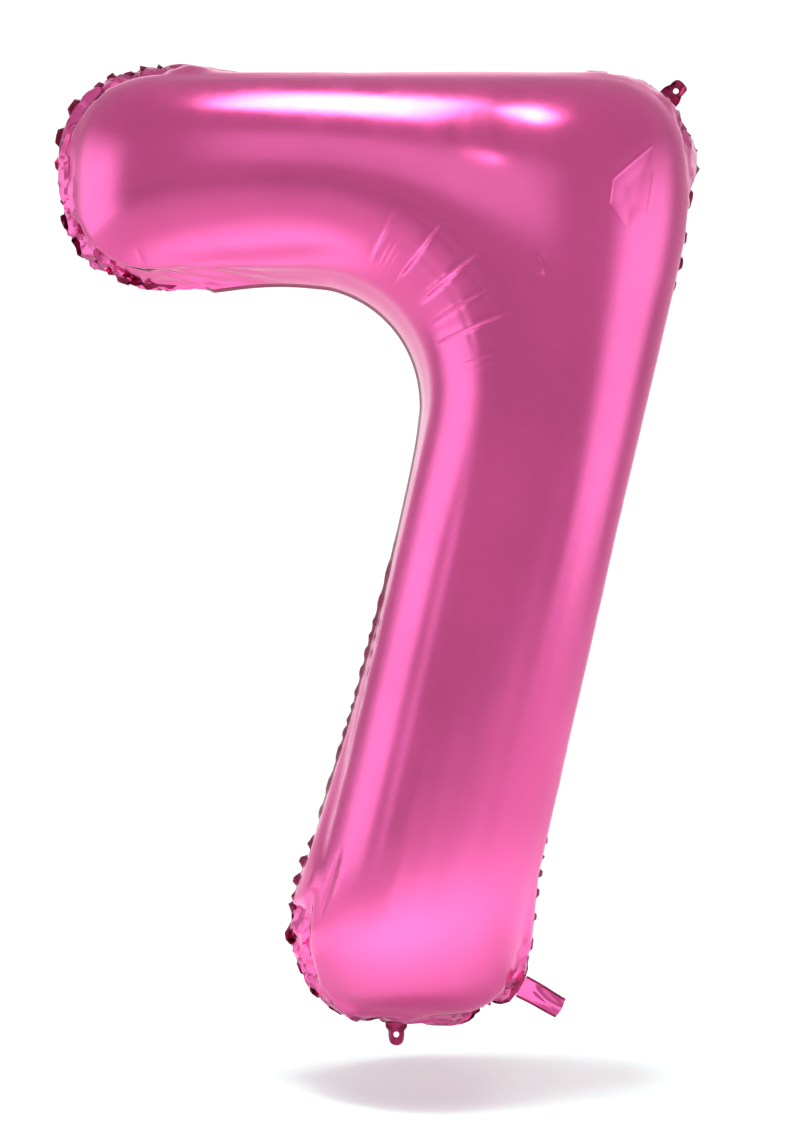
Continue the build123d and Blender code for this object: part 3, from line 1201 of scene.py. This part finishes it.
def soften_edges(light):
    """Makes an area light fade out towards its edges."""
    light.use_nodes = True
    tree = light.node_tree
    emission = next(n for n in tree.nodes if n.type == "EMISSION")
    split = tree.nodes.new("ShaderNodeSeparateXYZ")
    tree.links.new(tree.nodes.new("ShaderNodeNewGeometry").outputs["Parametric"], split.inputs[0])
    fades = []
    for axis in ("X", "Y"):
        turn = tree.nodes.new("ShaderNodeMath")
        turn.operation = "PINGPONG"
        turn.inputs[1].default_value = 0.5
        tree.links.new(split.outputs[axis], turn.inputs[0])
        fade = tree.nodes.new("ShaderNodeMapRange")
        fade.interpolation_type = "SMOOTHSTEP"
        fade.inputs["From Max"].default_value = 0.34
        tree.links.new(turn.outputs[0], fade.inputs["Value"])
        fades.append(fade.outputs["Result"])
    both = tree.nodes.new("ShaderNodeMath")
    both.operation = "MULTIPLY"
    tree.links.new(fades[0], both.inputs[0])
    tree.links.new(fades[1], both.inputs[1])
    tree.links.new(both.outputs[0], emission.inputs["Strength"])


def hang(light, place, in_reflections):
    """Puts a light in the scene, where the camera doesn't see it."""
    lamp = bpy.data.objects.new(light.name, light)
    bpy.context.collection.objects.link(lamp)
    lamp.location = place
    lamp.visible_camera = False
    lamp.visible_glossy = in_reflections
    return lamp


class BALLOON_OT_stage(bpy.types.Operator):
    """Add the pale paper sweep, the soft lights and the camera"""

    bl_idname = "balloon.stage"
    bl_label = "Stage, lights and camera"

    def execute(self, context):
        low, _ = cad_bounds
        floor = low[2] - FLOOR_GAP
        bend, radius = PAPER_BEND_START, PAPER_BEND_RADIUS
        profile = [(PAPER_FRONT, floor), (bend, floor)]
        for a in np.linspace(0, pi / 2, 24)[1:]:
            profile.append((bend + radius * sin(a), floor + radius - radius * cos(a)))
        profile.append((bend + radius, floor + PAPER_RISE))
        points = [(x, y, z) for x in PAPER_SIDES for y, z in profile]
        count = len(profile)
        faces = [(i, count + i, count + i + 1, i + 1) for i in range(count - 1)]
        paper = add_object("paper_sweep", points, faces)
        activate(paper)
        bpy.ops.object.shade_smooth()
        paint(paper, stage_finish())

        target = Vector(VIEW_CENTRE)
        for name, place, size, energy, colour, in_reflections in LIGHTS:
            light = bpy.data.lights.new(name, "AREA")
            light.shape = "RECTANGLE"
            light.size, light.size_y = size
            light.energy = energy
            light.color = colour
            soften_edges(light)
            aim = Vector(PAPER_AIM) if name == "paper_wash" else target
            lamp = hang(light, place, in_reflections)
            lamp.rotation_euler = (aim - Vector(place)).to_track_quat("-Z", "Y").to_euler()
        pool = bpy.data.lights.new("floor_pool", "SPOT")
        pool.energy = 390
        pool.color = (0.66, 1.0, 0.92)
        pool.spot_size = radians(34)
        pool.spot_blend = 0.9
        pool.shadow_soft_size = 0.35
        hang(pool, (target[0], -0.05, 1.25), False)
        world = bpy.data.worlds.new("studio")
        world.use_nodes = True
        background = world.node_tree.nodes["Background"]
        background.inputs["Color"].default_value = (1, 1, 1, 1)
        background.inputs["Strength"].default_value = DAYLIGHT
        context.scene.world = world

        camera = bpy.data.cameras.new("camera")
        camera.sensor_fit = "VERTICAL"
        camera.sensor_height = SENSOR_HEIGHT
        camera.lens = SENSOR_HEIGHT * CAMERA_DISTANCE / VIEW_HEIGHT
        eye = bpy.data.objects.new("camera", camera)
        context.collection.objects.link(eye)
        eye.location = (target[0], -CAMERA_DISTANCE, target[2])
        eye.rotation_euler = (pi / 2, 0, 0)
        context.scene.camera = eye
        context.scene.view_settings.view_transform = "Standard"
        return {"FINISHED"}


OPERATORS = (BALLOON_OT_films, BALLOON_OT_tabs, BALLOON_OT_tail, BALLOON_OT_valve, BALLOON_OT_stage)
SETTINGS = {"balloon_film": FilmSettings, "balloon_flaps": FlapSettings, "balloon_finish": FinishSettings}


class BALLOON_PT_parts(bpy.types.Panel):
    """The balloon's parts, in the order they are made"""

    bl_label = "Foil number balloon"
    bl_idname = "BALLOON_PT_parts"
    bl_space_type = "VIEW_3D"
    bl_region_type = "UI"
    bl_category = "Balloon"

    def draw(self, context):
        for group in SETTINGS:
            settings = getattr(context.scene, group)
            box = self.layout.box()
            for name in settings.__annotations__:
                box.prop(settings, name)
        for operator in OPERATORS:
            self.layout.operator(operator.bl_idname)


CLASSES = (*SETTINGS.values(), *OPERATORS, BALLOON_PT_parts)


def register():
    for kind in CLASSES:
        bpy.utils.register_class(kind)
    for group, settings in SETTINGS.items():
        setattr(bpy.types.Scene, group, PointerProperty(type=settings))


def unregister():
    for group in SETTINGS:
        delattr(bpy.types.Scene, group)
    for kind in reversed(CLASSES):
        bpy.utils.unregister_class(kind)


def main():
    register()
    bpy.ops.balloon.films()
    bpy.ops.balloon.tabs()
    bpy.ops.balloon.tail()
    bpy.ops.balloon.valve()
    bpy.ops.balloon.stage()


if __name__ == "__main__":
    main()
